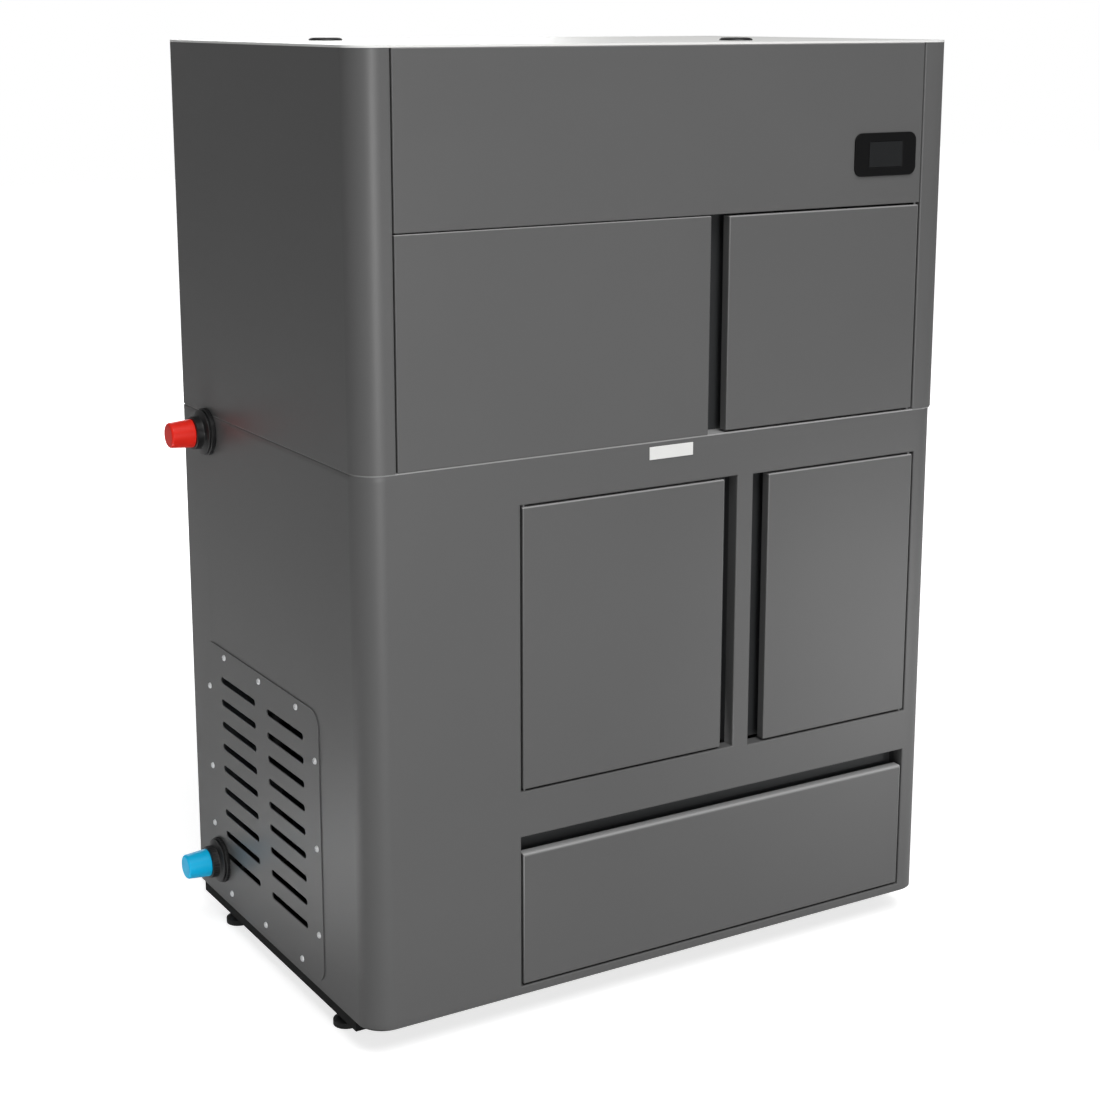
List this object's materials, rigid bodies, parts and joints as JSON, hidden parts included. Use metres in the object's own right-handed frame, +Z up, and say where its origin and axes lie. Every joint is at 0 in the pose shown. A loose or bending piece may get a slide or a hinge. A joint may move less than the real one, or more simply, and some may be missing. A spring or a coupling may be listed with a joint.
{
  "type": "pellet boiler",
  "caption": "Two-storey sheet-steel pellet boiler cabinet with hinged doors, ash drawer, hopper lid, fed burner, flue fan and capped water stubs.",
  "frame": {"origin": "on the floor, in the middle of the whole footprint, which takes in the pipe stubs at the left and the flue spigot at the rear", "axes": "+Z up, the front with its doors faces -Y, +X to the right seen from the front"},
  "size_m": [1.021, 0.6664, 1.346],
  "materials": {
    "base_black": "matt black powder coat",
    "foot_black": "matt black",
    "cabinet_grey": "fine satin grey powder coat",
    "screw_zinc": "bright zinc",
    "rear_zinc": "galvanised sheet",
    "seam_grey": "grey edge of the deck",
    "top_white": "satin white",
    "cap_black": "matt black",
    "channel_dark": "dark satin",
    "plain_steel": "rolled sheet",
    "plate_pale": "blank pale plate",
    "bezel_black": "satin black",
    "screen_dark": "dark glass-like screen, off",
    "box_grey": "moulded",
    "switch_red": "moulded rocker",
    "motor_dark": "dark enamel",
    "body_iron": "welded steel, grey primer",
    "door_iron": "heat-proof black",
    "seal_rope": "glass rope",
    "handle_black": "black bakelite",
    "pot_steel": "heat-tinted stainless",
    "igniter_ceramic": "ceramic",
    "pipe_black": "black steel pipe",
    "cap_red": "bright red",
    "cap_blue": "bright blue",
    "vessel_red": "red enamel"
  },
  "bodies": {
    "cabinet": {"base_frame": "base_black", "lower_shell": "cabinet_grey", "vent_grille": "cabinet_grey", "grille_screws": "screw_zinc", "rear_panel_lower": "rear_zinc", "rear_panel_upper": "rear_zinc", "mid_deck": "seam_grey", "upper_left_side": "cabinet_grey", "upper_right_side": "cabinet_grey", "top_panel": "top_white", "lifting_eye_caps": "cap_black", "fascia_panel": "cabinet_grey", "hopper_front_panel": "cabinet_grey", "upper_channel": "channel_dark", "left_channel": "channel_dark", "right_channel": "channel_dark", "drawer_channel": "channel_dark", "drawer_runners": "plain_steel", "front_plate": "plate_pale", "display_bezel": "bezel_black", "display_screen": "screen_dark", "control_box": "box_grey", "mains_inlet": "cap_black", "hopper_bin": "plain_steel", "auger_tube": "plain_steel", "auger_gearmotor": "motor_dark", "drop_chute": "plain_steel", "boiler_body": "body_iron", "burner_pot": "pot_steel", "igniter": "igniter_ceramic", "exchanger_tubes": "body_iron", "fan_housing": "rear_zinc", "fan_motor": "motor_dark", "flue_spigot": "rear_zinc", "air_intake": "rear_zinc", "flow_pipe": "pipe_black", "return_pipe": "pipe_black", "pipe_collars": "cap_black", "circulator_pump": "motor_dark", "expansion_vessel": "vessel_red", "vessel_bracket": "rear_zinc"},
    "foot_front_left_body": {"foot_front_left": "foot_black"},
    "foot_front_right_body": {"foot_front_right": "foot_black"},
    "foot_rear_left_body": {"foot_rear_left": "foot_black"},
    "foot_rear_right_body": {"foot_rear_right": "foot_black"},
    "lid": {"hopper_lid": "top_white"},
    "upper_door": {"upper_right_door": "cabinet_grey"},
    "left_door": {"lower_left_door": "cabinet_grey"},
    "right_door": {"lower_right_door": "cabinet_grey"},
    "ash_drawer": {"drawer_front": "cabinet_grey", "ash_tray": "plain_steel"},
    "fire_door": {"firebox_door": "door_iron", "door_seal": "seal_rope", "door_handle": "handle_black"},
    "auger": {"auger_screw": "plain_steel"},
    "impeller": {"fan_impeller": "plain_steel"},
    "comb": {"cleaning_comb": "plain_steel"},
    "red_cap": {"flow_cap": "cap_red"},
    "blue_cap": {"return_cap": "cap_blue"},
    "rocker": {"main_switch": "switch_red"}
  },
  "joints": [
    {"name": "foot_front_left_turn", "type": "hinge", "parent": "cabinet", "child": "foot_front_left_body", "pos_m": [-0.4265, -0.20575, 0], "axis": [0, 0, 1], "continuous": true},
    {"name": "foot_front_right_turn", "type": "hinge", "parent": "cabinet", "child": "foot_front_right_body", "pos_m": [0.4835, -0.20575, 0], "axis": [0, 0, 1], "continuous": true},
    {"name": "foot_rear_left_turn", "type": "hinge", "parent": "cabinet", "child": "foot_rear_left_body", "pos_m": [-0.4265, 0.18125, 0], "axis": [0, 0, 1], "continuous": true},
    {"name": "foot_rear_right_turn", "type": "hinge", "parent": "cabinet", "child": "foot_rear_right_body", "pos_m": [0.4835, 0.18125, 0], "axis": [0, 0, 1], "continuous": true},
    {"name": "lid_hinge", "type": "hinge", "parent": "cabinet", "child": "lid", "pos_m": [-0.1995, 0.22225, 1.337], "axis": [-1, 0, 0], "range_deg": [0, 80]},
    {"name": "upper_door_hinge", "type": "hinge", "parent": "cabinet", "child": "upper_door", "pos_m": [0.4485, -0.32575, 0.807], "axis": [0, 0, 1], "range_deg": [0, 100]},
    {"name": "right_door_hinge", "type": "hinge", "parent": "cabinet", "child": "right_door", "pos_m": [0.4545, -0.32575, 0.338], "axis": [0, 0, 1], "range_deg": [0, 100]},
    {"name": "fire_door_hinge", "type": "hinge", "parent": "cabinet", "child": "fire_door", "pos_m": [-0.1825, -0.27372, 0.362], "axis": [0, 0, -1], "range_deg": [0, 80]},
    {"name": "left_door_hinge", "type": "hinge", "parent": "cabinet", "child": "left_door", "pos_m": [-0.2085, -0.32575, 0.341], "axis": [0, 0, -1], "range_deg": [0, 100]},
    {"name": "drawer_slide", "type": "slide", "parent": "cabinet", "child": "ash_drawer", "axis": [0, -1, 0], "range_m": [0, 0.36]},
    {"name": "auger_spin", "type": "hinge", "parent": "cabinet", "child": "auger", "pos_m": [-0.1695, 0.03675, 0.848], "axis": [1, 0, 0], "continuous": true},
    {"name": "fan_spin", "type": "hinge", "parent": "cabinet", "child": "impeller", "pos_m": [0.1605, 0.15925, 0.442], "axis": [1, 0, 0], "continuous": true},
    {"name": "comb_lift", "type": "slide", "parent": "cabinet", "child": "comb", "axis": [0, 0, 1], "range_m": [0, 0.024]},
    {"name": "red_cap_pull", "type": "slide", "parent": "cabinet", "child": "red_cap", "axis": [-1, 0, 0], "range_m": [0, 0.06]},
    {"name": "blue_cap_pull", "type": "slide", "parent": "cabinet", "child": "blue_cap", "axis": [-1, 0, 0], "range_m": [0, 0.06]},
    {"name": "rocker_tilt", "type": "hinge", "parent": "cabinet", "child": "rocker", "pos_m": [0.4055, 0.26925, 0.976], "axis": [1, 0, 0], "range_deg": [0, 14]}
  ],
  "couplings": [
    {"joint": "left_door_hinge", "follows": "fire_door_hinge", "ratio": 1.25}
  ]
}
